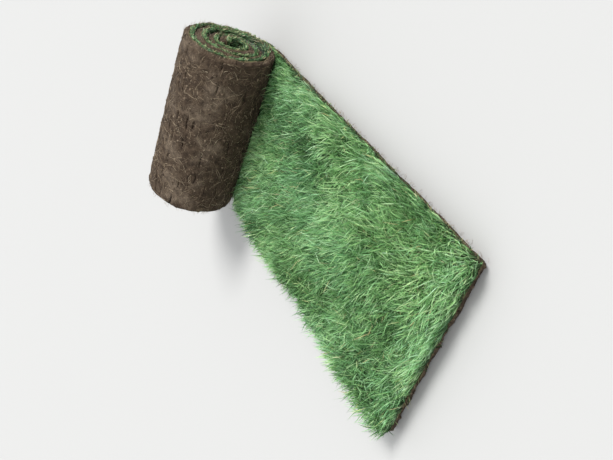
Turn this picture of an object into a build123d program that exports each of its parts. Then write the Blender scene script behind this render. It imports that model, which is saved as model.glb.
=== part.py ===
from build123d import *
import os
from math import pi

# A roll of lawn turf, part unrolled. One strip of turf is a mat of soil and roots with grass standing on it.
# Its free length lies flat with the grass up, as laid, and the rest is still wound with the grass inside.
# Millimetres. X runs along the strip to its free end, Y across it, Z up. The origin is on the ground, at the
# middle of the flat underside.

# Driving dimensions
strip_length = 2500.0  # a square metre of turf, measured along the middle of the mat
strip_width = 400.0
mat_thickness = 18.0  # soil and roots, as undercut from the field
grass_height = 30.0  # standing grass, from the mat up to where its mass ends and single tips begin
pressed_grass = 9.0  # the same grass, squeezed flat between two turns
bore_radius = 18.0  # open hollow at the heart of the roll
half_turns = 7  # how much of the strip is still wound
grass_fringe = 3.0  # how far the grass hangs out past the cut ends of the roll
grass_lean = 5.0  # how far the standing grass leans out over the cut edges
grass_crown = 14.0  # rounding of the standing grass, along its top edges
free_end_round = 4.0  # crumbled lower edge of the free end

# The winding. Each half turn is an arc about one of two centres half a pitch apart, so that all arcs are tangent.
pitch = mat_thickness + pressed_grass
half_turn_radii = [bore_radius + pitch + step * pitch / 2 for step in reversed(range(half_turns))]
roll_radius = half_turn_radii[0]
wound_length = pi * sum(radius - mat_thickness / 2 for radius in half_turn_radii)
laid_length = strip_length - wound_length
roll_x = -laid_length / 2  # the roll's axis stands over the end of the flat underside
free_end_x = laid_length / 2


def half_turn_centre(turn):
    """Centre of a half turn, in the side view: even ones lie on the far side of the axis, odd ones on the near."""
    return (roll_x, roll_radius + (turn % 2) * pitch / 2)


def half_turn_arc(turn, inset):
    """A half turn, run inwards along the winding, at this depth below the underside of the strip."""
    start_angle = -90 if turn % 2 == 0 else 90
    return CenterArc(half_turn_centre(turn), half_turn_radii[turn] - inset, start_angle, -180)


def wound_outline(outer_inset, inner_inset):
    """Outline, in the side view, of one layer of the wound strip, between two depths below its underside."""
    outer = [half_turn_arc(turn, outer_inset) for turn in range(half_turns)]
    inner = [half_turn_arc(turn, inner_inset) for turn in range(half_turns)]
    Line(outer[0] @ 0, inner[0] @ 0)
    Line(outer[-1] @ 1, inner[-1] @ 1)


# Soil and roots: the wound band runs on without a break into the flat length.
with BuildPart() as root_mat:
    with BuildSketch(Plane.XZ):
        with BuildLine():
            wound_outline(0, mat_thickness)
        make_face()
        with Locations((roll_x, 0)):
            Rectangle(laid_length, mat_thickness, align=(Align.MIN, Align.MIN))
    extrude(amount=strip_width / 2, both=True)
    free_end_face = root_mat.faces().filter_by(Axis.X).sort_by(Axis.X)[-1]
    fillet(free_end_face.edges().sort_by(Axis.Z)[0], free_end_round)

# Grass: standing on the flat length, pressed under the roll where the two meet, and squeezed between the turns.
# The standing block is what its side view and its front view leave in common.
with BuildPart() as grass:
    with BuildSketch(Plane.XZ):
        with BuildLine():
            Polyline(
                (roll_x, mat_thickness),
                (free_end_x, mat_thickness),
                (free_end_x + grass_lean, mat_thickness + grass_height),
                (roll_x, mat_thickness + grass_height),
                close=True,
            )
        make_face()
        fillet(vertices().group_by(Axis.Y)[-1].sort_by(Axis.X)[-1], grass_crown)
        with Locations(half_turn_centre(1)):
            Circle(half_turn_radii[1], mode=Mode.SUBTRACT)
    extrude(amount=strip_width, both=True)
    with BuildSketch(Plane.YZ):
        with BuildLine():
            Polyline(
                (-strip_width / 2, mat_thickness),
                (strip_width / 2, mat_thickness),
                (strip_width / 2 + grass_lean, mat_thickness + grass_height),
                (-strip_width / 2 - grass_lean, mat_thickness + grass_height),
                close=True,
            )
        make_face()
        fillet(vertices().group_by(Axis.Y)[-1], grass_crown)
    extrude(amount=strip_length, both=True, mode=Mode.INTERSECT)
    with BuildSketch(Plane.XZ):
        with BuildLine():
            wound_outline(mat_thickness, pitch)
        make_face()
    extrude(amount=strip_width / 2 + grass_fringe, both=True)

root_mat.part.label = "root_mat"
grass.part.label = "grass"

os.makedirs("parts", exist_ok=True)
export_step(root_mat.part, "parts/root_mat.step")
export_step(grass.part, "parts/grass.step")

print(f"flat {laid_length:.1f} mm, wound {wound_length:.1f} mm, roll {2 * roll_radius:.1f} mm across")
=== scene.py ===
"""A roll of lawn turf, part unrolled: soil, roots, standing grass, and grass pressed between the turns."""

import math

import bpy
import numpy as np
from mathutils import Matrix, Vector


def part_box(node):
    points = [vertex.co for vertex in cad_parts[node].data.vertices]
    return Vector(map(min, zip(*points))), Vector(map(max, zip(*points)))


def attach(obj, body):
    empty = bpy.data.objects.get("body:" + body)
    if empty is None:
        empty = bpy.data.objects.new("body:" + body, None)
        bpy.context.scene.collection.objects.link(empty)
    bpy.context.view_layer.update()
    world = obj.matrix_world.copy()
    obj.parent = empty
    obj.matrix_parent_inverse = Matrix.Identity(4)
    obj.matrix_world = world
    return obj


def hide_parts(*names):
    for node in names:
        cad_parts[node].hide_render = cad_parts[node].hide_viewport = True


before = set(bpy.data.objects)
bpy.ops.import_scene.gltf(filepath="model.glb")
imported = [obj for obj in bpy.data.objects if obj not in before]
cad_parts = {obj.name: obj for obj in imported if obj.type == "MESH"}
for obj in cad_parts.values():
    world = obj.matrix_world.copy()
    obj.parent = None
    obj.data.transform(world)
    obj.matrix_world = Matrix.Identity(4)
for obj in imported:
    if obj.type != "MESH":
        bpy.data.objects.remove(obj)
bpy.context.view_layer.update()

# The strip, in metres. What the frame's boxes don't give is named here.
MAT_THICKNESS = 0.018
PRESSED_GRASS = 0.009
HALF_TURNS = 7
PITCH = MAT_THICKNESS + PRESSED_GRASS
mat_low, mat_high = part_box("root_mat")
HALF_WIDTH = mat_high.y
FREE_END_X = mat_high.x
ROLL_RADIUS = mat_high.z / 2
ROLL_X = mat_low.x + ROLL_RADIUS
LAID = FREE_END_X - ROLL_X

# The winding: half turns about two centres, half a pitch apart. Lengths run along the middle of the mat.
TURN_RADII = ROLL_RADIUS - np.arange(HALF_TURNS) * PITCH / 2
TURN_LENGTHS = math.pi * (TURN_RADII - MAT_THICKNESS / 2)
TURN_STARTS = LAID + np.concatenate([[0.0], np.cumsum(TURN_LENGTHS)])
STRIP_LENGTH = TURN_STARTS[-1]
OUTER_TURN_END = TURN_STARTS[2]  # the last of the strip that shows on the outside of the roll
BORE_START = TURN_STARTS[HALF_TURNS - 2]  # from here on, the grass is the wall of the hollow

# How a real roll differs from a drawn one
SIDE_WANDER = 0.005  # how far the turns drift sideways
TURN_WANDER = 0.0014  # how far they stray in and out
WANDER_GROWS = 0.3  # length of strip over which both grow to that, from the start of the roll
TURN_DROP = 0.005  # how far the innermost has sunk, as each turn rests on the one below it
SAG = 0.02  # share of its height that the roll settles
SPREAD = 0.025  # share of its width that it gains by that
SAG_FROM = 0.065  # the standing grass, below this height, stays as it is

# Chance. Every kind of piece draws by itself, so that a change to one leaves the others alone.
SEED = 20
CLOD_SEED, LAWN_SEED, THATCH_SEED, FRINGE_SEED = range(SEED + 1, SEED + 5)
NET_ROOT_SEED, CRACK_SEED, EDGE_ROOT_SEED, BORE_SEED = range(SEED + 5, SEED + 9)
NOISE_TABLE = np.random.default_rng(SEED).uniform(-1, 1, 65536)
NOISE_STRIDES = (7919, 104729, 15731)  # large primes, so that neighbours lie far apart in the table


# Small tools


def fade(t):
    """Smooth step from 0 to 1."""
    t = np.clip(t, 0, 1)
    return t * t * (3 - 2 * t)


def noise(u, v, cell, seed):
    """Smooth noise from -1 to 1 over a plane, with bumps about one cell across."""
    u, v = np.asarray(u) / cell, np.asarray(v) / cell
    left, low = np.floor(u).astype(np.int64), np.floor(v).astype(np.int64)
    across, up = fade(u - left), fade(v - low)
    u_stride, v_stride, seed_stride = NOISE_STRIDES

    def corner(i, j):
        place = (left + i) * u_stride + (low + j) * v_stride + seed * seed_stride
        return NOISE_TABLE[place % len(NOISE_TABLE)]

    bottom = corner(0, 0) * (1 - across) + corner(1, 0) * across
    top = corner(0, 1) * (1 - across) + corner(1, 1) * across
    return bottom * (1 - up) + top * up


def layered(u, v, *layers):
    """A sum of noises, each given as its height, its cell and its seed."""
    return sum(height * noise(u, v, cell, seed) for height, cell, seed in layers)


def unit(vectors):
    """The same vectors, each of length 1."""
    return vectors / np.maximum(np.linalg.norm(vectors, axis=-1, keepdims=True), 1e-9)


def on_strip(along, across, height):
    """Where a point of the strip lies: along from the free end, across from the middle line, and height
    from the underside towards the grass. Works on arrays."""
    along, across, height = np.broadcast_arrays(along, across, height)
    turn = np.clip(np.searchsorted(TURN_STARTS, along, side="right") - 1, 0, HALF_TURNS - 1)
    radius = TURN_RADII[turn]
    odd = turn % 2
    swept = (along - TURN_STARTS[turn]) / (radius - MAT_THICKNESS / 2)
    angle = np.where(odd == 0, -math.pi / 2, math.pi / 2) - swept
    in_roll = fade((along - LAID) / WANDER_GROWS)
    reach = radius - height + TURN_WANDER * in_roll * noise(along, across * 0.3, cell=0.08, seed=4)
    wound = along > LAID
    x = np.where(wound, ROLL_X + reach * np.cos(angle), FREE_END_X - along)
    inner = np.clip((along - OUTER_TURN_END) / (STRIP_LENGTH - OUTER_TURN_END), 0, 1)
    z = np.where(wound, ROLL_RADIUS + odd * PITCH / 2 + reach * np.sin(angle) - TURN_DROP * inner, height)
    drift = SIDE_WANDER * in_roll * noise(along, 0, cell=0.25, seed=3)
    return settle(np.stack([x, across + drift, z], axis=-1))


def settle(points):
    """The roll's own weight makes it a little lower and wider, and the laid grass stays as it is. Nothing
    goes below the floor."""
    x, y, z = points[..., 0], points[..., 1], points[..., 2]
    top = 2 * ROLL_RADIUS
    share = np.clip((z - SAG_FROM) / (top - SAG_FROM), 0, 1)
    lowered = np.maximum(z - SAG * top * share * share, 0)
    wider = ROLL_X + (x - ROLL_X) * (1 + SPREAD * np.sin(math.pi * share))
    return np.stack([wider, y, lowered], axis=-1)


def make_object(name, points, loops, sizes, attributes=None, face_map=None):
    """A mesh object from arrays: the corners of all faces in a row, how many each face has, point
    attributes, and one map coordinate for each corner."""
    mesh = bpy.data.meshes.new(name)
    mesh.vertices.add(len(points))
    mesh.vertices.foreach_set("co", np.asarray(points, np.float32).ravel())
    mesh.loops.add(len(loops))
    mesh.loops.foreach_set("vertex_index", np.asarray(loops, np.int32))
    starts = np.concatenate([[0], np.cumsum(sizes)[:-1]])
    mesh.polygons.add(len(sizes))
    mesh.polygons.foreach_set("loop_start", starts.astype(np.int32))
    mesh.polygons.foreach_set("use_smooth", np.ones(len(sizes), bool))
    for key, values in (attributes or {}).items():
        layer = mesh.attributes.new(key, "FLOAT", "POINT")
        layer.data.foreach_set("value", np.asarray(values, np.float32).ravel())
    if face_map is not None:
        layer = mesh.uv_layers.new(name="OFBake")
        layer.uv.foreach_set("vector", np.asarray(face_map, np.float32).ravel())
    mesh.update(calc_edges=True)
    mesh.validate()
    obj = bpy.data.objects.new(name, mesh)
    bpy.context.scene.collection.objects.link(obj)
    return obj


def finish_piece(obj, material, slot, *nodes):
    """Gives a piece its material and its body, and hides the solids that it stands for. Its slot is not
    used.
    """
    obj.data.materials.append(material)
    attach(obj, "root")
    if nodes:
        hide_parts(*nodes)


# Materials


def new_material(name, roughness, specular):
    """A node material with a plain Principled shader, its node tree and that shader."""
    material = bpy.data.materials.new(name)
    material.use_nodes = True
    tree = material.node_tree
    shader = tree.nodes["Principled BSDF"]
    shader.inputs["Roughness"].default_value = roughness
    shader.inputs["Specular IOR Level"].default_value = specular
    return material, tree, shader


def add_node(tree, kind, inputs=None, **settings):
    """A node with these settings, and these input values or links."""
    node = tree.nodes.new(kind)
    for key, value in settings.items():
        setattr(node, key, value)
    for key, value in (inputs or {}).items():
        if isinstance(value, bpy.types.NodeSocket):
            tree.links.new(value, node.inputs[key])
        else:
            node.inputs[key].default_value = value
    return node


def ramp(tree, factor, *stops):
    """A colour ramp through these (place, colour) stops. A colour that is one number is a grey."""
    node = add_node(tree, "ShaderNodeValToRGB", {"Fac": factor})
    elements = node.color_ramp.elements
    while len(elements) < len(stops):
        elements.new(0.5)
    for element, (place, colour) in zip(elements, stops):
        element.position = place
        element.color = (*colour, 1) if isinstance(colour, tuple) else (colour, colour, colour, 1)
    return node.outputs["Color"]


def mix_colours(tree, factor, first, second, blend="MIX"):
    """A mix of two colours. In a multiply, the factor is how much of it shows."""
    node = add_node(tree, "ShaderNodeMix", data_type="RGBA", blend_type=blend)
    for socket, value in ((node.inputs[0], factor), (node.inputs[6], first), (node.inputs[7], second)):
        if isinstance(value, bpy.types.NodeSocket):
            tree.links.new(value, socket)
        else:
            socket.default_value = value
    return node.outputs[2]


def attribute(tree, name):
    """A point attribute of the mesh, as a number."""
    return add_node(tree, "ShaderNodeAttribute", attribute_name=name).outputs["Fac"]


def noise_field(tree, scale, detail=3.0, roughness=0.5):
    """Noise over the object's own place, as a number."""
    place = add_node(tree, "ShaderNodeTexCoord").outputs["Object"]
    settings = {"Vector": place, "Scale": scale, "Detail": detail, "Roughness": roughness}
    return add_node(tree, "ShaderNodeTexNoise", settings).outputs["Fac"]


LEAF_LIGHT = 0.3  # share of the light on a blade that comes through it


def grass_material():
    """Green blades: each has its own tone from dark green to straw, and its own tint from bluish to
    yellowish. Painted shade darkens it towards its foot, a slight painted highlight lightens it near its
    tip, and some light comes through it."""
    material, tree, shader = new_material("grass", roughness=0.5, specular=0.35)
    tone = ramp(
        tree,
        attribute(tree, "tone"),
        (0.00, (0.040, 0.100, 0.035)),
        (0.30, (0.140, 0.315, 0.120)),
        (0.60, (0.290, 0.560, 0.250)),
        (0.84, (0.480, 0.715, 0.410)),
        (0.92, (0.600, 0.670, 0.350)),
        (1.00, (0.680, 0.570, 0.360)),
    )
    tint = ramp(tree, attribute(tree, "hue"), (0.0, (0.87, 0.96, 1.07)), (1.0, (1.09, 1.03, 0.82)))
    # Painted shade: each blade darkens towards its foot, by its share up the blade. Near its tip it is a
    # touch lighter, a slight painted highlight.
    foot = ramp(tree, attribute(tree, "along"), (0.0, 0.12), (0.35, 0.42), (0.80, 1.04))
    colour = mix_colours(tree, 1.0, tone, tint, "MULTIPLY")
    colour = mix_colours(tree, 1.0, colour, foot, "MULTIPLY")
    tree.links.new(colour, shader.inputs["Base Color"])
    through = add_node(tree, "ShaderNodeBsdfTranslucent", {"Color": colour})
    shares = {0: LEAF_LIGHT, 1: shader.outputs[0], 2: through.outputs[0]}
    both = add_node(tree, "ShaderNodeMixShader", shares)
    tree.links.new(both.outputs[0], tree.nodes["Material Output"].inputs["Surface"])
    return material


def soil_material():
    """Damp soil with drier patches, painted shade in its cracks, and a thatch of old stems on the grass's
    side.
    """
    material, tree, shader = new_material("soil", roughness=0.95, specular=0.15)
    clods = noise_field(tree, scale=75.0, detail=7.0, roughness=0.7)
    grit = noise_field(tree, scale=900.0)
    damp = ramp(
        tree,
        clods,
        (0.30, (0.018, 0.012, 0.008)),
        (0.50, (0.050, 0.034, 0.022)),
        (0.68, (0.095, 0.067, 0.044)),
        (0.85, (0.170, 0.126, 0.086)),
    )
    dry = ramp(tree, clods, (0.30, (0.060, 0.044, 0.031)), (0.75, (0.230, 0.178, 0.128)))
    patches = ramp(tree, noise_field(tree, scale=13.0, detail=4.0, roughness=0.6), (0.50, 0.0), (0.68, 0.7))
    soil = mix_colours(tree, patches, damp, dry)
    speckle = ramp(tree, grit, (0.35, 0.55), (0.60, 1.0), (0.75, (1.7, 1.6, 1.5)))
    soil = mix_colours(tree, 0.8, soil, speckle, "MULTIPLY")
    # Painted shade: the soil darkens where a crack has opened on the underside.
    painted_crack_shade = ramp(tree, attribute(tree, "crack"), (0.05, 1.0), (0.80, (0.42, 0.39, 0.37)))
    soil = mix_colours(tree, 1.0, soil, painted_crack_shade, "MULTIPLY")
    thatch = ramp(tree, grit, (0.35, (0.050, 0.040, 0.022)), (0.65, (0.200, 0.160, 0.085)))
    shown = ramp(tree, attribute(tree, "height"), (0.72, 0.0), (0.92, 1.0))
    colour = mix_colours(tree, shown, soil, thatch)
    tree.links.new(colour, shader.inputs["Base Color"])
    place = add_node(tree, "ShaderNodeTexCoord").outputs["Object"]
    crumbs = add_node(tree, "ShaderNodeTexVoronoi", {"Vector": place, "Scale": 330.0}).outputs["Distance"]
    relief = add_node(tree, "ShaderNodeMath", {0: clods, 1: crumbs}, operation="ADD").outputs[0]
    bump = add_node(tree, "ShaderNodeBump", {"Height": relief, "Strength": 0.6, "Distance": 0.002})
    tree.links.new(bump.outputs["Normal"], shader.inputs["Normal"])
    return material


def root_material():
    """Fine roots, from dark and earthy to pale."""
    material, tree, shader = new_material("roots", roughness=0.8, specular=0.2)
    tones = ramp(
        tree,
        attribute(tree, "tone"),
        (0.0, (0.060, 0.042, 0.028)),
        (0.5, (0.230, 0.172, 0.112)),
        (1.0, (0.520, 0.430, 0.300)),
    )
    tree.links.new(tones, shader.inputs["Base Color"])
    return material


def clod_material():
    """Crumbs of soil, each of its own tone."""
    material, tree, shader = new_material("clods", roughness=0.95, specular=0.15)
    tones = ramp(
        tree,
        attribute(tree, "tone"),
        (0.0, (0.022, 0.015, 0.010)),
        (0.7, (0.090, 0.064, 0.042)),
        (1.0, (0.165, 0.126, 0.088)),
    )
    tree.links.new(tones, shader.inputs["Base Color"])
    return material


# The mat of soil and roots


EDGE_RAG = 0.0035  # how far its cut edges are torn in and out
EDGE_WAVE = 0.0025  # how far they stray from a straight line
CORNER_CRUMBLE = 0.005  # how far its lower corners have crumbled away
NEAR_EDGE = 0.014  # how far in from an edge these reach
ROLL_BEGINS = 0.05  # length of strip over which the unevenness of the roll sets in
PIT_DEPTH = 0.0018  # mean depth of the pits in its underside
LUMP_HEIGHT = 0.0012
CRACK_HALF_WIDTH = 0.0018
CRACK_DEPTH = 0.004
CRACK_SPACING = (0.010, 0.034)  # least and most length of strip between two cracks
CRACK_FREE_END = 0.005  # length at the end of the outer turn that has none


def crack_places():
    """Where the soil has opened across the outside of the roll, at uneven distances along the strip."""
    draw = np.random.default_rng(CRACK_SEED)
    least, most = CRACK_SPACING
    most_cracks = int((OUTER_TURN_END - LAID) / least)
    places = LAID + np.cumsum(draw.uniform(least, most, most_cracks))
    return places[places < OUTER_TURN_END - CRACK_FREE_END]


CRACK_PLACES = crack_places()


def crack_opening(along, across):
    """From 0 to 1, how far the soil has opened at each place. A crack comes and goes across the strip."""
    after = np.clip(np.searchsorted(CRACK_PLACES, along), 1, len(CRACK_PLACES) - 1)
    before = after - 1
    nearer_before = along - CRACK_PLACES[before] < CRACK_PLACES[after] - along
    nearest = np.where(nearer_before, before, after)
    distance = np.abs(along - CRACK_PLACES[nearest])
    comes_and_goes = noise(across, nearest * 1.7, cell=0.026, seed=19)
    shown = fade((comes_and_goes - 0.02) / 0.55)
    return shown * (1 - fade(distance / CRACK_HALF_WIDTH))


def crumble(along, across, height):
    """Moves points of the plain strip as undercutting and handling leave it: ragged cut edges, crumbled
    lower corners, lumps, pits and cracks in the underside, and an uneven top."""
    side = np.sign(across)
    beside = fade((np.abs(across) - (HALF_WIDTH - NEAR_EDGE)) / NEAR_EDGE)
    ahead = fade((NEAR_EDGE - along) / NEAR_EDGE)
    low = 1 - np.clip(height / MAT_THICKNESS, 0, 1)
    corner = CORNER_CRUMBLE * low**3
    coarse_rag = 0.6 * noise(along, height + side, cell=0.022, seed=11)
    fine_rag = 0.4 * noise(along, height * 2 + side, cell=0.006, seed=12)
    wave = EDGE_WAVE * noise(along, side, cell=0.3, seed=13)
    outward = EDGE_RAG * (coarse_rag + fine_rag - 0.4) - corner
    new_across = across + side * beside * outward + beside * wave

    wound = fade((along - LAID) / ROLL_BEGINS)
    slipped = wound * layered(across, along, (0.007, 0.06, 18), (0.002, 0.013, 24))
    coarse_rag = 0.6 * noise(across, height, cell=0.025, seed=14)
    fine_rag = 0.4 * noise(across, height * 2, cell=0.007, seed=15)
    new_along = along + slipped + ahead * (EDGE_RAG * (coarse_rag + fine_rag + 0.5) + corner)

    pits = PIT_DEPTH + layered(along, across, (0.0012, 0.014, 16), (0.0006, 0.006, 17))
    lumps = LUMP_HEIGHT * wound * (noise(along, across, cell=0.045, seed=23) + 1)
    cracks = CRACK_DEPTH * crack_opening(along, across)
    bumps = layered(along, across, (0.0016, 0.02, 21), (0.001, 0.006, 22))
    new_height = height + low * (pits + lumps + cracks) + (1 - low) * bumps
    return new_along, new_across, new_height


LAID_STEP, OUTSIDE_STEP, INSIDE_STEP = 0.007, 0.0048, 0.0075
ACROSS_CRACK = (-1.0, -0.45, 0.0, 0.45, 1.0)  # the mesh's steps over a crack, in half widths
SECTION_COLUMNS, SECTION_LAYERS = 84, 7


def strip_steps():
    """Places along the strip for the mat's mesh: closer together where the outside of the roll shows, and
    with some for each crack."""
    laid = np.arange(0, LAID, LAID_STEP)
    outside = np.arange(LAID, OUTER_TURN_END, OUTSIDE_STEP)
    inside = np.arange(OUTER_TURN_END, STRIP_LENGTH, INSIDE_STEP)
    crack_steps = (CRACK_PLACES[:, None] + CRACK_HALF_WIDTH * np.array(ACROSS_CRACK)).ravel()
    distance = np.abs(outside[:, None] - CRACK_PLACES[None]).min(axis=1)
    outside = outside[distance > CRACK_HALF_WIDTH * 1.3]
    steps = np.concatenate([laid, outside, crack_steps, inside, [STRIP_LENGTH]])
    return np.sort(steps)


def stretch(values, low, high, start, end):
    """The values moved and scaled, so that low lands on start and high on end."""
    return start + (end - start) * (values - low) / (high - low)


UNDERSIDE, RIGHT_SIDE, TOP, LEFT_SIDE, FREE_END, INNER_END = range(6)

# Where each part of the mat lies on its map
MAP_START, MAP_END = 0.01, 0.99
UNDERSIDE_ROWS, TOP_ROWS = (0.005, 0.080), (0.090, 0.165)
END_ROWS, OUTSIDE_ROWS = (0.173, 0.199), (0.45, 0.99)
SIDE_RUNS = 4  # each long cut edge is folded into this many runs
FIRST_RUN, RUN_PITCH, RUN_HEIGHT = 0.205, 0.030, 0.026
MAPPED_BEFORE_ROLL = 0.03  # length of the laid underside that is mapped with the outside of the roll


def mat_map(along, across, height, part):
    """Map coordinates for the mat's face corners, an array of face and corner, by the part of the section
    that each face is on. What shows on the outside of the roll gets the most room."""
    u = stretch(along, 0, STRIP_LENGTH, MAP_START, MAP_END)
    v = stretch(across, -HALF_WIDTH, HALF_WIDTH, *UNDERSIDE_ROWS)
    v = np.where((part == TOP)[:, None], stretch(across, -HALF_WIDTH, HALF_WIDTH, *TOP_ROWS), v)

    outer_start = LAID - MAPPED_BEFORE_ROLL
    on_outside = (along.min(axis=1) >= outer_start) & (along.max(axis=1) <= OUTER_TURN_END)
    outer = ((part == UNDERSIDE) & on_outside)[:, None]
    u = np.where(outer, stretch(along, outer_start, OUTER_TURN_END, MAP_START, MAP_END), u)
    v = np.where(outer, stretch(across, -HALF_WIDTH, HALF_WIDTH, *OUTSIDE_ROWS), v)

    run_length = STRIP_LENGTH / SIDE_RUNS
    run = np.minimum(along.min(axis=1) // run_length, SIDE_RUNS - 1)[:, None]
    row = run + SIDE_RUNS * (part == LEFT_SIDE)[:, None]
    on_side = ((part == RIGHT_SIDE) | (part == LEFT_SIDE))[:, None]
    longest = run_length + INSIDE_STEP  # a face that starts at the end of a run reaches past it
    u = np.where(on_side, stretch(along - run * run_length, 0, longest, MAP_START, MAP_END), u)
    v = np.where(on_side, FIRST_RUN + RUN_PITCH * row + stretch(height, 0, MAT_THICKNESS, 0, RUN_HEIGHT), v)

    on_end = (part >= FREE_END)[:, None]
    end_shift = 0.5 * (part == INNER_END)[:, None]
    u = np.where(on_end, end_shift + stretch(across, -HALF_WIDTH, HALF_WIDTH, MAP_START, MAP_END - 0.5), u)
    v = np.where(on_end, stretch(height, 0, MAT_THICKNESS, *END_ROWS), v)
    return np.stack([u, v], axis=-1)


def ring_faces(steps, ring):
    """Faces between rings of points, one ring at each step along the strip."""
    row = np.arange(steps - 1)[:, None] * ring
    here = np.arange(ring)[None, :]
    after = (here + 1) % ring
    return np.stack([row + here, row + ring + here, row + ring + after, row + after], -1).reshape(-1, 4)


def make_mat(material):
    """One closed mesh: a ring of points round the section at each step along the strip, with both ends
    closed by a grid of their own."""
    steps = strip_steps()
    columns, layers = SECTION_COLUMNS, SECTION_LAYERS
    wide = np.linspace(-HALF_WIDTH, HALF_WIDTH, columns + 1)
    high = np.linspace(0, MAT_THICKNESS, layers + 1)
    right_side, left_side = np.full(layers - 1, HALF_WIDTH), np.full(layers - 1, -HALF_WIDTH)
    ring_across = np.concatenate([wide, right_side, wide[::-1], left_side])
    underside, top = np.zeros(columns + 1), np.full(columns + 1, MAT_THICKNESS)
    ring_height = np.concatenate([underside, high[1:-1], top, high[-2:0:-1]])
    ring = len(ring_across)
    along = np.repeat(steps, ring)
    across = np.tile(ring_across, len(steps))
    height = np.tile(ring_height, len(steps))

    quads = [ring_faces(len(steps), ring)]
    part_of_ring = np.repeat([UNDERSIDE, RIGHT_SIDE, TOP, LEFT_SIDE], [columns, layers, columns, layers])
    parts = [np.tile(part_of_ring, len(steps) - 1)]

    def ring_index(column, layer):
        """Which ring point lies at this column and layer of the section's rim, or None inside it."""
        if layer == 0:
            return column
        if layer == layers:
            return columns + 1 + (layers - 1) + (columns - column)
        if column == columns:
            return columns + layer
        if column == 0:
            return ring - layer
        return None

    count = len(along)
    extra = [[], [], []]
    for last, step in ((0, 0), (1, len(steps) - 1)):
        grid = np.zeros((columns + 1, layers + 1), np.int64)
        for column in range(columns + 1):
            for layer in range(layers + 1):
                rim = ring_index(column, layer)
                if rim is not None:
                    grid[column, layer] = step * ring + rim
                    continue
                grid[column, layer] = count
                count += 1
                for values, value in zip(extra, (steps[step], wide[column], high[layer])):
                    values.append(value)
        cells = np.stack([grid[:-1, :-1], grid[1:, :-1], grid[1:, 1:], grid[:-1, 1:]], -1).reshape(-1, 4)
        quads.append(cells[:, ::-1] if last else cells)
        parts.append(np.full(len(cells), INNER_END if last else FREE_END))

    along = np.concatenate([along, extra[0]])
    across = np.concatenate([across, extra[1]])
    height = np.concatenate([height, extra[2]])
    points = on_strip(*crumble(along, across, height))
    faces = np.concatenate(quads)
    # How far each point's crack has opened, on the underside: the soil material paints shade there.
    opened = crack_opening(along, across) * (height < MAT_THICKNESS / 2)
    fields = {"height": height / MAT_THICKNESS, "crack": opened}
    face_map = mat_map(along[faces], across[faces], height[faces], np.concatenate(parts))
    obj = make_object("soil_mat", points, faces.ravel(), np.full(len(faces), 4), fields, face_map)
    finish_piece(obj, material, "soil", "root_mat")


# Clods: small lumps, half sunk in the soil


def icosahedron():
    """Corners and faces of a small lump."""
    golden = (1 + math.sqrt(5)) / 2
    corners = np.array([
        (-1, golden, 0), (1, golden, 0), (-1, -golden, 0), (1, -golden, 0),
        (0, -1, golden), (0, 1, golden), (0, -1, -golden), (0, 1, -golden),
        (golden, 0, -1), (golden, 0, 1), (-golden, 0, -1), (-golden, 0, 1),
    ])
    faces = np.array([
        (0, 11, 5), (0, 5, 1), (0, 1, 7), (0, 7, 10), (0, 10, 11), (1, 5, 9), (5, 11, 4), (11, 10, 2),
        (10, 7, 6), (7, 1, 8), (3, 9, 4), (3, 4, 2), (3, 2, 6), (3, 6, 8), (3, 8, 9), (4, 9, 5),
        (2, 4, 11), (6, 2, 10), (8, 6, 7), (9, 8, 1),
    ])
    return unit(corners), faces


CLODS_ON_ROLL, CLODS_ON_EDGES, CLODS_ON_END = 3000, 1700, 280
CLOD_SIZE, CLOD_GROWTH = 0.0008, 0.0028  # the smallest, and how much the largest is above it
SUNK_CLOD = 0.0012  # how deep clods sit in the outside of the roll
CLOD_TONES = 32  # steps of tone between clods, each with a column of its own in the map


def make_clods(material):
    """Crumbs on the outside of the roll, along the cut edges and at the free end."""
    draw = np.random.default_rng(CLOD_SEED)
    on_roll, on_edges, on_end = CLODS_ON_ROLL, CLODS_ON_EDGES, CLODS_ON_END
    count = on_roll + on_edges + on_end
    along = np.concatenate([
        draw.uniform(LAID - 0.02, OUTER_TURN_END + 0.02, on_roll),
        draw.uniform(0, STRIP_LENGTH, on_edges),
        draw.uniform(0, 0.003, on_end),
    ])
    across = np.concatenate([
        draw.uniform(-HALF_WIDTH, HALF_WIDTH, on_roll),
        draw.choice([-1, 1], on_edges) * (HALF_WIDTH - draw.uniform(0.001, 0.005, on_edges)),
        draw.uniform(-HALF_WIDTH, HALF_WIDTH, on_end),
    ])
    height = np.concatenate([
        np.full(on_roll, SUNK_CLOD),
        draw.uniform(0.003, MAT_THICKNESS - 0.002, on_edges),
        draw.uniform(0.003, MAT_THICKNESS - 0.002, on_end),
    ])
    centres = on_strip(*crumble(along, across, height))
    size = CLOD_SIZE + CLOD_GROWTH * draw.random(count) ** 3
    corners, faces = icosahedron()
    proportions = draw.uniform(0.7, 1.3, (count, 1, 3))
    jitter = draw.uniform(0.8, 1.15, (count, len(corners), 1))
    points = centres[:, None] + corners[None] * jitter * proportions * size[:, None, None]
    points[..., 2] = np.maximum(points[..., 2], 0)
    loops = (faces[None] + (np.arange(count) * len(corners))[:, None, None]).ravel()
    column = draw.integers(0, CLOD_TONES, count)
    tone = np.repeat((column + 0.5) / CLOD_TONES, len(corners))
    across_map = (np.repeat(column, len(faces))[:, None] + np.array([0.2, 0.8, 0.5])) / CLOD_TONES
    face_map = np.stack([across_map, np.broadcast_to([0.2, 0.2, 0.8], across_map.shape)], axis=-1)
    sizes = np.full(count * len(faces), 3)
    obj = make_object("soil_clods", points.reshape(-1, 3), loops, sizes, {"tone": tone}, face_map)
    finish_piece(obj, material, "soil", "root_mat")


# Strands: blades and roots, all made from centre lines


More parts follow.
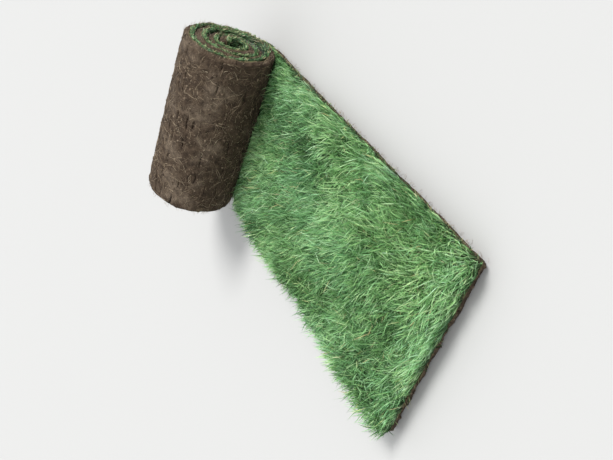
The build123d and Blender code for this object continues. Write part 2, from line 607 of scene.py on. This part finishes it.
TONES = 16  # steps of tone between blades
HUES = 4  # steps of hue at each tone
COLUMNS = TONES * HUES  # each pair has a column of its own in the map
BLADE_KNOTS = 4  # points along the line of a blade
BLADE_PLACES, BLADE_SHARES = (0.0, 0.25, 0.7, 1.0), (0.7, 1.0, 0.8, 0.0)


def blade_widths(width):
    """How wide a blade is at each point of its line: it widens from its foot and narrows to its tip."""
    return width[:, None] * np.interp(np.linspace(0, 1, BLADE_KNOTS), BLADE_PLACES, BLADE_SHARES)


def make_strands(name, centres, widths, facing, tone, hue=0.5, tip=1.0, sides=2):
    """Blades (two sides) or roots (three) along centre lines, an array of strand, point and place. Each
    narrows to a point at its end, and turns its face towards its facing vector. The tip tells how far up
    its blade each strand's end is, so that one that lies deep keeps the painted shade of a blade's foot."""
    count, knots = centres.shape[:2]
    heading = unit(np.gradient(centres, axis=1))
    side = unit(np.cross(heading, facing[:, None, :]))
    other = np.cross(heading, side)
    turn = (np.arange(sides) * 2 * math.pi / sides)[None, None, :, None]
    spokes = side[:, :, None] * np.cos(turn) + other[:, :, None] * np.sin(turn)
    body = centres[:, :-1, None] + spokes[:, :-1] * (widths[:, :-1] / 2)[:, :, None, None]
    points = np.concatenate([body.reshape(count, -1, 3), centres[:, -1:]], axis=1)
    points[..., 2] = np.maximum(points[..., 2], 0)
    per_strand = points.shape[1]

    corners, sizes, edge = [], [], []
    spans = range(1) if sides == 2 else range(sides)
    for knot in range(knots - 2):
        for span in spans:
            after = (span + 1) % sides
            first, second = knot * sides + span, knot * sides + after
            corners += [first, second, second + sides, first + sides]
            edge += [0, 1, 1, 0]
            sizes.append(4)
    for span in spans:
        after = (span + 1) % sides
        corners += [(knots - 2) * sides + span, (knots - 2) * sides + after, per_strand - 1]
        edge += [0, 1, 0.5]
        sizes.append(3)
    loops = (np.array(corners)[None] + (np.arange(count) * per_strand)[:, None]).ravel()

    tone_step = np.clip((np.broadcast_to(tone, count) * TONES).astype(int), 0, TONES - 1)
    hue_step = np.clip((np.broadcast_to(hue, count) * HUES).astype(int), 0, HUES - 1)
    column = tone_step * HUES + hue_step
    share = np.linspace(0, 1, knots)
    point_share = np.concatenate([np.repeat(share[:-1], sides), share[-1:]])
    along = point_share[None] * np.broadcast_to(tip, count)[:, None]
    across_map = (column[:, None] + 0.15 + 0.7 * np.array(edge)[None]) / COLUMNS
    up_map = 0.02 + 0.96 * along[:, corners]
    fields = {
        "tone": np.repeat((tone_step + 0.5) / TONES, per_strand),
        "hue": np.repeat((hue_step + 0.5) / HUES, per_strand),
        "along": along,
    }
    face_map = np.stack([across_map, up_map], axis=-1)
    return make_object(name, points.reshape(-1, 3), loops, np.tile(sizes, count), fields, face_map)


def bent_lines(start, first, last, length, knots=BLADE_KNOTS):
    """Centre lines in strip places, that set out one way and bend over to another."""
    lines = [start]
    for knot in range(1, knots):
        turn = (knot - 0.5) / (knots - 1)
        heading = unit(first * (1 - turn) + last * turn)
        lines.append(lines[-1] + heading * (length / (knots - 1))[:, None])
    return np.stack(lines, axis=1)


GREENEST, STRAW = 0.87, 0.88  # the lightest tone of a green blade, and the first of a dry one


def blade_tones(along, across, draw, shift, dry):
    """How light each blade is: patches of the lawn, a shift and chance. A share of them is dry."""
    patch = layered(along, across, (0.5, 0.09, 31), (0.4, 0.035, 32), (0.4, 0.016, 35))
    tone = 0.44 + 0.42 * patch + shift + draw.normal(0, 0.24, len(along))
    tone = np.clip(tone, 0.02, GREENEST)
    return np.where(draw.random(len(along)) < dry, draw.uniform(STRAW, 1.0, len(along)), tone)


def blade_hues(along, across, draw, shift):
    """How yellowish each blade is, in patches that differ from those of the tones."""
    patch = layered(along, across, (0.6, 0.13, 33), (0.4, 0.04, 34))
    return np.clip(0.56 + 0.38 * patch + shift + draw.normal(0, 0.16, len(along)), 0, 0.999)


def mostly_up(draw, count):
    """Face vectors that point roughly up."""
    return np.array([0, 0, 1.0]) + draw.normal(0, 0.6, (count, 3))


def keep_within(lines, limit):
    """Holds lines to this distance from the middle of the strip."""
    lines[..., 1] = np.clip(lines[..., 1], -limit, limit)


# The standing grass


LAWN_SECTIONS = ("lawn_free_end", "lawn_middle", "lawn_at_roll")
BLADES_IN_SECTION = 27000
BLADES_IN_TUFT = 9
TUFT_SPREAD = 0.0032
BLADE_LENGTH, BLADE_LENGTH_SPREAD = 0.044, 0.008
SHORTEST_BLADE, LONGEST_BLADE = 0.020, 0.062
BLADE_WIDTH, BLADE_WIDTH_GROWTH = 0.0011, 0.0017  # the narrowest, and how much the widest is above it
BLADE_REACH = 0.011  # the most that blades hang out past the cut edges
EDGE_BAND = 0.03  # how far in from the edges they lean out
EDGE_LEAN = 0.05  # how much they lean out there
NIP_BAND = 0.12  # length in front of the roll where they bend down into the nip
NIP_LEAN = 1.6  # how much they lean in there, away from the roll
BEHIND_NIP = 0.03  # how far under the roll they still stand
FOOT_DEPTH = 0.001  # how deep the foot of a blade sits in the mat
LEAST_HANG, HANG_GROWTH = 0.003, 0.010  # how far blades may hang down the cut edges


def under_roll(lines):
    """Presses blades out of the roll: points inside the half turn that faces them move out to its
    surface, and never up over it."""
    centre_x, centre_z = ROLL_X, ROLL_RADIUS + PITCH / 2
    clear = TURN_RADII[1] + FOOT_DEPTH
    dx, dz = lines[..., 0] - centre_x, lines[..., 2] - centre_z
    inside = np.hypot(dx, dz) < clear
    dz = np.where(inside, np.minimum(dz, -0.3 * np.abs(dx)), dz)
    scale = np.where(inside, clear / np.maximum(np.hypot(dx, dz), 1e-6), 1)
    lines[..., 0] = np.where(inside, centre_x + dx * scale, lines[..., 0])
    lines[..., 2] = np.where(inside, np.maximum(centre_z + dz * scale, MAT_THICKNESS), lines[..., 2])
    return lines


def place_tufts(draw, start, end):
    """The blades of one length of lawn: the tuft that each is in, the place of its foot in that tuft, and
    where its foot is along and across the strip."""
    tufts = BLADES_IN_SECTION // BLADES_IN_TUFT
    tuft = np.repeat(np.arange(tufts), BLADES_IN_TUFT)
    tuft_along = draw.uniform(start, end, tufts)
    tuft_across = draw.uniform(-HALF_WIDTH, HALF_WIDTH, tufts)
    foot = draw.normal(0, TUFT_SPREAD, (len(tuft), 2))
    rim = HALF_WIDTH - FOOT_DEPTH
    along = (tuft_along[tuft] + foot[:, 0]).clip(FOOT_DEPTH, LAID + BEHIND_NIP)
    across = (tuft_across[tuft] + foot[:, 1]).clip(-rim, rim)
    return tuft, foot, along, across


def shared(draw, tuft, spread):
    """Chance that all blades of a tuft share."""
    return draw.normal(0, spread, tuft[-1] + 1)[tuft]


def lawn_leans(draw, tuft, foot, along, across, nip):
    """How far each blade leans along and across the strip: with its neighbours and its tuft, out of the
    tuft's middle, a little out over the cut edges, and away from the roll where it bends into the nip."""
    spread = unit(foot) * draw.uniform(0.1, 0.8, len(tuft))[:, None]

    def lean(axis, seed):
        """The lean along (axis 0) or across (axis 1), away from edges and nip."""
        patch = layered(along, across, (0.50, 0.12, seed), (0.45, 0.035, seed + 1))
        return patch + shared(draw, tuft, 0.32) + spread[:, axis] + draw.normal(0, 0.14, len(tuft))

    lean_along, lean_across = lean(0, seed=41), lean(1, seed=43)
    outward = fade((np.abs(across) - (HALF_WIDTH - EDGE_BAND)) / EDGE_BAND) * np.sign(across)
    lean_across = lean_across * (1 - 0.5 * np.abs(outward)) + EDGE_LEAN * outward
    forward = fade((EDGE_BAND - along) / EDGE_BAND)
    lean_along = lean_along * (1 - 0.5 * forward) - EDGE_LEAN * forward
    lean_along = lean_along * (1 - nip) - NIP_LEAN * nip
    return lean_along, lean_across


def lawn_lines(draw, tuft, along, across, leans, nip):
    """Centre lines of the standing blades, in strip places. Each sets out steeply and bends over. Only
    what hangs out past the cut edges comes below the top of the mat."""
    lean_along, lean_across = leans
    upright = np.ones(len(tuft))
    first = np.stack([0.6 * lean_along, 0.6 * lean_across, upright], -1)
    droop = 1.2 * draw.random(len(tuft)) ** 1.6
    last = np.stack([1.4 * lean_along, 1.4 * lean_across, upright - droop], -1)
    patch = layered(along, across, (0.09, 0.2, 46), (0.11, 0.07, 45), (0.16, 0.022, 47))
    lushness = (1 + patch + shared(draw, tuft, 0.16)).clip(0.6, 1.25)
    length = draw.normal(BLADE_LENGTH, BLADE_LENGTH_SPREAD, len(tuft)).clip(SHORTEST_BLADE, LONGEST_BLADE)
    length = length * lushness * (1 - 0.25 * nip)
    start = np.stack([along, across, np.full(len(tuft), MAT_THICKNESS - FOOT_DEPTH)], -1)
    lines = bent_lines(start, unit(first), unit(last), length)
    reach = BLADE_REACH * (0.7 + 0.3 * noise(along, across, cell=0.003, seed=48))[:, None]
    keep_within(lines, HALF_WIDTH + reach)
    lines[..., 0] = np.maximum(lines[..., 0], -reach)
    outside = (np.abs(lines[..., 1]) > HALF_WIDTH) | (lines[..., 0] < 0)
    hang = LEAST_HANG + HANG_GROWTH * draw.random(len(tuft))[:, None] ** 4
    lines[..., 2] = np.maximum(lines[..., 2], MAT_THICKNESS - np.where(outside, hang, FOOT_DEPTH))
    return lines


def make_lawn(material):
    """The standing grass of the laid length, in three sections. It grows in tufts, whose blades spread
    out from one foot and share some of their lean, height and colour."""
    draw = np.random.default_rng(LAWN_SEED)
    section_length = (LAID + BEHIND_NIP) / len(LAWN_SECTIONS)
    for index, name in enumerate(LAWN_SECTIONS):
        ends = index * section_length, (index + 1) * section_length
        tuft, foot, along, across = place_tufts(draw, *ends)
        nip = fade((along - (LAID - NIP_BAND)) / NIP_BAND)
        leans = lawn_leans(draw, tuft, foot, along, across, nip)
        lines = lawn_lines(draw, tuft, along, across, leans, nip)
        tone = blade_tones(along, across, draw, shared(draw, tuft, 0.14), dry=0.02)
        hue = blade_hues(along, across, draw, shared(draw, tuft, 0.12))
        lawn = under_roll(np.stack([FREE_END_X - lines[..., 0], lines[..., 1], lines[..., 2]], -1))
        facing = mostly_up(draw, len(tuft))
        width = blade_widths(BLADE_WIDTH + BLADE_WIDTH_GROWTH * draw.random(len(tuft)) ** 1.4)
        finish_piece(make_strands(name, lawn, width, facing, tone, hue), material, "grass", "grass")


THATCH_IN_LAWN, THATCH_ON_EDGES = 6500, 4200
THATCH_BAND = 0.012  # how far in from the cut edges the second kind lies
THATCH_REACH = 0.006  # how far thatch may stand out past the cut edges
THATCH_ROOF = 0.05  # how high it may stand in the open


def make_thatch(material):
    """Old stems and dry leaves, low among the grass and along the cut edges."""
    draw = np.random.default_rng(THATCH_SEED)
    inner, edge = THATCH_IN_LAWN, THATCH_ON_EDGES
    count = inner + edge
    along = np.concatenate([draw.uniform(0, LAID, inner), draw.uniform(0, STRIP_LENGTH, edge)])
    beside = draw.choice([-1, 1], edge) * (HALF_WIDTH - draw.uniform(0, THATCH_BAND, edge))
    across = np.concatenate([draw.uniform(-HALF_WIDTH, HALF_WIDTH, inner), beside])
    swing = draw.uniform(0, 2 * math.pi, count)
    first = np.stack([np.cos(swing), np.sin(swing), draw.uniform(0.1, 0.7, count)], -1)
    last = np.stack([np.cos(swing), np.sin(swing), draw.uniform(-0.4, 0.3, count)], -1)
    length = draw.uniform(0.008, 0.024, count)
    start = np.stack([along, across, np.full(count, MAT_THICKNESS)], -1)
    lines = bent_lines(start, unit(first), unit(last), length, knots=3)
    roof = np.where(lines[..., 0] > LAID, PITCH - 0.001, THATCH_ROOF)
    lines[..., 2] = np.clip(lines[..., 2], MAT_THICKNESS - FOOT_DEPTH, roof)
    keep_within(lines, HALF_WIDTH + THATCH_REACH)
    points = on_strip(*np.moveaxis(lines, -1, 0))
    facing = mostly_up(draw, count)
    width = draw.uniform(0.0010, 0.0022, count)[:, None] * np.array([1.0, 0.8, 0.0])
    tone = np.where(draw.random(count) < 0.6, draw.uniform(0.9, 1.0, count), draw.uniform(0.1, 0.4, count))
    # Painted shade: a tip of 0.7 keeps the darkness of a blade's foot on every stem, low among the grass.
    finish_piece(make_strands("thatch", points, width, facing, tone, tip=0.7), material, "grass")


# Grass in the roll: a squeezed layer between the turns, blades at both ends, and blades in the hollow


PRESSED_STEP, PRESSED_COLUMNS = 0.006, 40
PRESSED_INSET = 0.008  # how far in from the cut edges the layer ends, and about how ragged it is there
PRESSED_RAG = 0.003
PRESSED_ROOF = PITCH - 0.0012  # its top on the wall of the hollow
SLIT = 0.004  # how much higher it is between two turns, so that it closes the slit


def make_pressed_layer(material):
    """The body of the squeezed grass, a closed band that winds up with the mat, dark all over with painted
    shade.
    """
    steps = np.arange(LAID - BEHIND_NIP, STRIP_LENGTH, PRESSED_STEP)
    rim = HALF_WIDTH - PRESSED_INSET
    there = np.linspace(-rim, rim, PRESSED_COLUMNS)
    wide = np.concatenate([there, there[::-1]])
    ring = len(wide)
    along, across = np.repeat(steps, ring), np.tile(wide, len(steps))
    roof = PRESSED_ROOF + SLIT * (along < BORE_START)
    on_top = np.tile(np.repeat([False, True], PRESSED_COLUMNS), len(steps))
    height = np.where(on_top, roof, MAT_THICKNESS - FOOT_DEPTH)
    at_rim = np.abs(across) > rim - 0.001
    across = across + np.sign(across) * at_rim * PRESSED_RAG * noise(along, height, cell=0.004, seed=51)
    points = on_strip(along, across, height)
    quads = ring_faces(len(steps), ring)
    last = (len(steps) - 1) * ring
    ends = np.concatenate([np.arange(ring), last + np.arange(ring)[::-1]])
    loops = np.concatenate([quads.ravel(), ends])
    sizes = np.concatenate([np.full(len(quads), 4), [ring, ring]])
    # Partly the squeezed grass's own dark colour, partly painted shade: a low tone, and a share up the
    # blade of 0 all over, so that the whole layer takes the darkest foot shade, for the depth between the
    # turns.
    tone = 0.12 + 0.1 * noise(along * 3, across, cell=0.006, seed=52)
    fields = {"tone": tone, "hue": np.full(len(along), 0.6), "along": np.zeros(len(along))}
    obj = make_object("pressed_layer", points, loops, sizes, fields)
    finish_piece(obj, material, "grass", "grass")


LYING_BLADES, STANDING_BLADES = 8000, 2200  # at each end of the roll
LYING_DEPTH = 0.024  # how far in from the roll's ends the first kind lies
ROLL_BLADE_WIDTHS = (0.0012, 0.0024)
FRINGE_REACH = 0.009  # how far blades may stand out of the roll's ends
LOOSE_FRINGE = 0.002  # how far out they are no longer held between the turns
FRINGE_SAG = 12.0  # how much they hang down, per metre, for the square of how far out they are


def make_fringe(material):
    """Blades caught between the turns: most lie along the winding, and some stand out of the roll's ends,
    in bunches."""
    draw = np.random.default_rng(FRINGE_SEED)
    lying, standing = LYING_BLADES, STANDING_BLADES
    count = lying + standing
    for name, side in (("fringe_left", 1), ("fringe_right", -1)):
        along = draw.uniform(LAID - 0.02, STRIP_LENGTH - 0.002, count)
        deep = 0.0005 + LYING_DEPTH * draw.random(lying) ** 1.8
        inset = np.concatenate([deep, draw.uniform(0.001, 0.012, standing)])
        across = side * (HALF_WIDTH - inset)
        height = draw.uniform(MAT_THICKNESS + 0.0005, PITCH + 0.0005, count)
        way = draw.choice([-1.0, 1.0], count)
        bunch = 1 + 0.6 * noise(along, side, cell=0.03, seed=61)
        out = np.concatenate([draw.uniform(-0.05, 0.10, lying), draw.uniform(0.25, 0.9, standing)]) * bunch
        rise = draw.normal(0, 0.08, count)
        first = np.stack([way * draw.uniform(0.6, 1.0, count), side * out, rise], -1)
        bend = np.concatenate([draw.normal(0, 0.10, lying), draw.normal(0, 0.45, standing)])
        last = np.stack([way * draw.uniform(0.5, 1.3, count), side * out * 0.7, bend], -1)
        length = np.concatenate([draw.uniform(0.014, 0.034, lying), draw.uniform(0.009, 0.019, standing)])
        start = np.stack([along, across, height], -1)
        lines = bent_lines(start, unit(first), unit(last), length)
        lines[..., 0] = np.clip(lines[..., 0], LAID - 0.05, STRIP_LENGTH)
        outside = np.abs(lines[..., 1]) > HALF_WIDTH + LOOSE_FRINGE
        held = np.clip(lines[..., 2], MAT_THICKNESS + 0.0003, PRESSED_ROOF + SLIT)
        loose = np.clip(lines[..., 2], MAT_THICKNESS - 0.003, PITCH + 0.003)
        lines[..., 2] = np.where(outside, loose, held)
        keep_within(lines, HALF_WIDTH + FRINGE_REACH)
        points = on_strip(*np.moveaxis(lines, -1, 0))
        out_by = np.maximum(np.abs(points[..., 1]) - HALF_WIDTH, 0)
        points[..., 2] = np.maximum(points[..., 2] - FRINGE_SAG * out_by**2, 0.001)
        facing = np.array([0, side, 0.4]) + draw.normal(0, 0.6, (count, 3))
        width = blade_widths(draw.uniform(*ROLL_BLADE_WIDTHS, count))
        # Painted shade: lying blades are 0.20 darker and standing ones 0.10 darker, for the shade between
        # the turns.
        painted_gap_shade = np.where(np.arange(count) < lying, -0.20, -0.10)
        shift = painted_gap_shade + 0.1 * noise(along, side, cell=0.05, seed=62)
        tone = blade_tones(along, across, draw, shift, dry=0.16)
        hue = blade_hues(along, across, draw, 0.1)
        # Painted shade: tips below 1 keep the darkness of a blade's foot on these blades, most on the lying
        # ones.
        tip = np.concatenate([draw.uniform(0.3, 0.75, lying), draw.uniform(0.6, 1.0, standing)])
        strands = make_strands(name, points, width, facing, tone, hue, tip)
        finish_piece(strands, material, "grass", "grass")


BLADES_IN_BORE = 6000
BORE_REACH = 0.003  # how far they may stand up from the wall of the hollow, and out of its ends


def make_bore_grass(material):
    """Blades that lie on the wall of the roll's hollow, the grass of the last two half turns."""
    draw = np.random.default_rng(BORE_SEED)
    count = BLADES_IN_BORE
    along = draw.uniform(BORE_START, STRIP_LENGTH, count)
    across = draw.uniform(-HALF_WIDTH + 0.004, HALF_WIDTH - 0.004, count)
    swing = draw.normal(0, 0.6, count) + draw.choice([0, math.pi], count)
    first = np.stack([np.cos(swing), np.sin(swing), draw.uniform(0, 0.35, count)], -1)
    last = np.stack([np.cos(swing), np.sin(swing), draw.normal(-0.05, 0.15, count)], -1)
    foot_height = PITCH - 0.002
    start = np.stack([along, across, np.full(count, foot_height)], -1)
    lines = bent_lines(start, unit(first), unit(last), draw.uniform(0.014, 0.030, count))
    lines[..., 0] = np.clip(lines[..., 0], BORE_START, STRIP_LENGTH)
    lines[..., 2] = np.clip(lines[..., 2], foot_height, PITCH + BORE_REACH)
    keep_within(lines, HALF_WIDTH + BORE_REACH)
    points = on_strip(*np.moveaxis(lines, -1, 0))
    facing = draw.normal(0, 1, (count, 3))
    width = blade_widths(draw.uniform(*ROLL_BLADE_WIDTHS, count))
    # Painted shade: a tone shift of -0.10 and tips below 1 darken the blades inside the hollow.
    tone = blade_tones(along, across, draw, -0.10, dry=0.12)
    hue = blade_hues(along, across, draw, 0.1)
    tip = draw.uniform(0.5, 0.9, count)
    strands = make_strands("bore_grass", points, width, facing, tone, hue, tip)
    finish_piece(strands, material, "grass", "grass")


# Roots


NET_ROOTS, NET_ROOT_KNOTS, EDGE_ROOTS = 3000, 5, 1500


def make_net_roots(material):
    """Fine roots that net the outside of the roll. Most run roughly along the strip or across it."""
    draw = np.random.default_rng(NET_ROOT_SEED)
    count, knots = NET_ROOTS, NET_ROOT_KNOTS
    along = draw.uniform(LAID - 0.02, OUTER_TURN_END, count)
    across = draw.uniform(-HALF_WIDTH + 0.004, HALF_WIDTH - 0.004, count)
    swing = draw.normal(0, 0.75, count) + draw.choice([0, math.pi / 2, math.pi], count)
    length = 0.010 + 0.045 * draw.random(count) ** 1.6
    line_along, line_across = [along], [across]
    for _ in range(knots - 1):
        swing = swing + draw.normal(0, 0.28, count)
        line_along.append(line_along[-1] + np.cos(swing) * length / (knots - 1))
        line_across.append(line_across[-1] + np.sin(swing) * length / (knots - 1))
    line_along, line_across = np.stack(line_along, 1), np.stack(line_across, 1)
    line_across = np.clip(line_across, -HALF_WIDTH + 0.002, HALF_WIDTH - 0.002)
    in_and_out = draw.uniform(-0.0007, 0.0005, line_along.shape)
    new_along, new_across, new_height = crumble(line_along, line_across, np.zeros_like(line_along))
    points = on_strip(new_along, new_across, new_height + in_and_out)
    width = (0.0004 + 0.0008 * draw.random(count) ** 2)[:, None] * np.linspace(1, 0.3, knots)
    facing = draw.normal(0, 1, (count, 3))
    tone = draw.beta(1.6, 2.4, count)
    finish_piece(make_strands("net_roots", points, width, facing, tone, sides=3), material, "soil")


def make_edge_roots(material):
    """Short ends of roots that hang out of the cut edges."""
    draw = np.random.default_rng(EDGE_ROOT_SEED)
    count = EDGE_ROOTS
    along = draw.uniform(0, STRIP_LENGTH, count)
    side = draw.choice([-1.0, 1.0], count)
    height = draw.uniform(0.002, MAT_THICKNESS - 0.003, count)
    start = np.stack([along, side * (HALF_WIDTH - 0.003), height], -1)
    first = np.stack([draw.normal(0, 0.5, count), side, draw.normal(0, 0.4, count)], -1)
    last = np.stack([draw.normal(0, 1.0, count), side * 0.3, draw.normal(-0.2, 0.6, count)], -1)
    lines = bent_lines(start, unit(first), unit(last), draw.uniform(0.005, 0.012, count))
    points = on_strip(*np.moveaxis(lines, -1, 0))
    points[..., 2] = np.maximum(points[..., 2], 0.0005)
    width = draw.uniform(0.0004, 0.0008, count)[:, None] * np.linspace(1, 0.4, BLADE_KNOTS)
    facing = draw.normal(0, 1, (count, 3))
    tone = draw.beta(2, 2, count)
    finish_piece(make_strands("edge_roots", points, width, facing, tone, sides=3), material, "soil")


# Floor, light and camera


FLOOR_SIZE = 60.0
FLOOR_COLOUR = (0.405, 0.40, 0.39, 1)
SKY_COLOUR = (0.95, 0.975, 1.0, 1)
SKY_STRENGTH = 1.25
LAMP_STRENGTH = 3.9
LAMP_ANGLE = 24.0  # degrees of sky that the lamp fills, for soft shadows
LAMP_DIRECTION = (-1.5, 6.5, 7.5)  # from the object towards the lamp


def make_floor():
    """A plain pale floor."""
    bpy.ops.mesh.primitive_plane_add(size=FLOOR_SIZE)
    floor = bpy.context.object
    floor.name = "floor"
    material, _, shader = new_material("floor", roughness=0.9, specular=0.1)
    shader.inputs["Base Color"].default_value = FLOOR_COLOUR
    floor.data.materials.append(material)


def make_light():
    """A bright even sky and one wide, soft lamp far off, as under thin cloud."""
    world = bpy.data.worlds.new("studio")
    world.use_nodes = True
    background = world.node_tree.nodes["Background"]
    background.inputs["Color"].default_value = SKY_COLOUR
    background.inputs["Strength"].default_value = SKY_STRENGTH
    bpy.context.scene.world = world
    data = bpy.data.lights.new("key", "SUN")
    data.energy = LAMP_STRENGTH
    data.angle = math.radians(LAMP_ANGLE)
    lamp = bpy.data.objects.new("key", data)
    lamp.rotation_euler = Vector(LAMP_DIRECTION).to_track_quat("Z", "Y").to_euler()
    bpy.context.scene.collection.objects.link(lamp)
    bpy.context.scene.view_settings.view_transform = "Standard"


CAMERA_TARGET = (0.015, -0.022, 0.064)
CAMERA_SIDE = 36.0  # degrees round from straight behind the free end
CAMERA_DOWN = 32.0  # degrees that it looks down, as in the photograph
CAMERA_DISTANCE = 1.42
CAMERA_LENS, CAMERA_SENSOR = 40.0, 36.0


def make_camera():
    """A camera that looks down along the strip, on its side as in the photograph: up is to the left."""
    side, down = math.radians(CAMERA_SIDE), math.radians(CAMERA_DOWN)
    back = Vector((math.cos(down) * math.cos(side), math.cos(down) * math.sin(side), math.sin(down)))
    right = Vector((-math.sin(side), math.cos(side), 0))
    up = back.cross(right)
    data = bpy.data.cameras.new("camera")
    data.lens = CAMERA_LENS
    data.sensor_width = CAMERA_SENSOR
    camera = bpy.data.objects.new("camera", data)
    turn = Matrix((-up, right, back)).transposed()
    camera.matrix_world = Matrix.Translation(Vector(CAMERA_TARGET) + back * CAMERA_DISTANCE) @ turn.to_4x4()
    bpy.context.scene.collection.objects.link(camera)
    bpy.context.scene.camera = camera


make_camera()
make_light()
make_floor()
soil, clods, roots, grass = soil_material(), clod_material(), root_material(), grass_material()
make_mat(soil)
make_clods(clods)
make_net_roots(roots)
make_edge_roots(roots)
make_lawn(grass)
make_thatch(grass)
make_pressed_layer(grass)
make_fringe(grass)
make_bore_grass(grass)
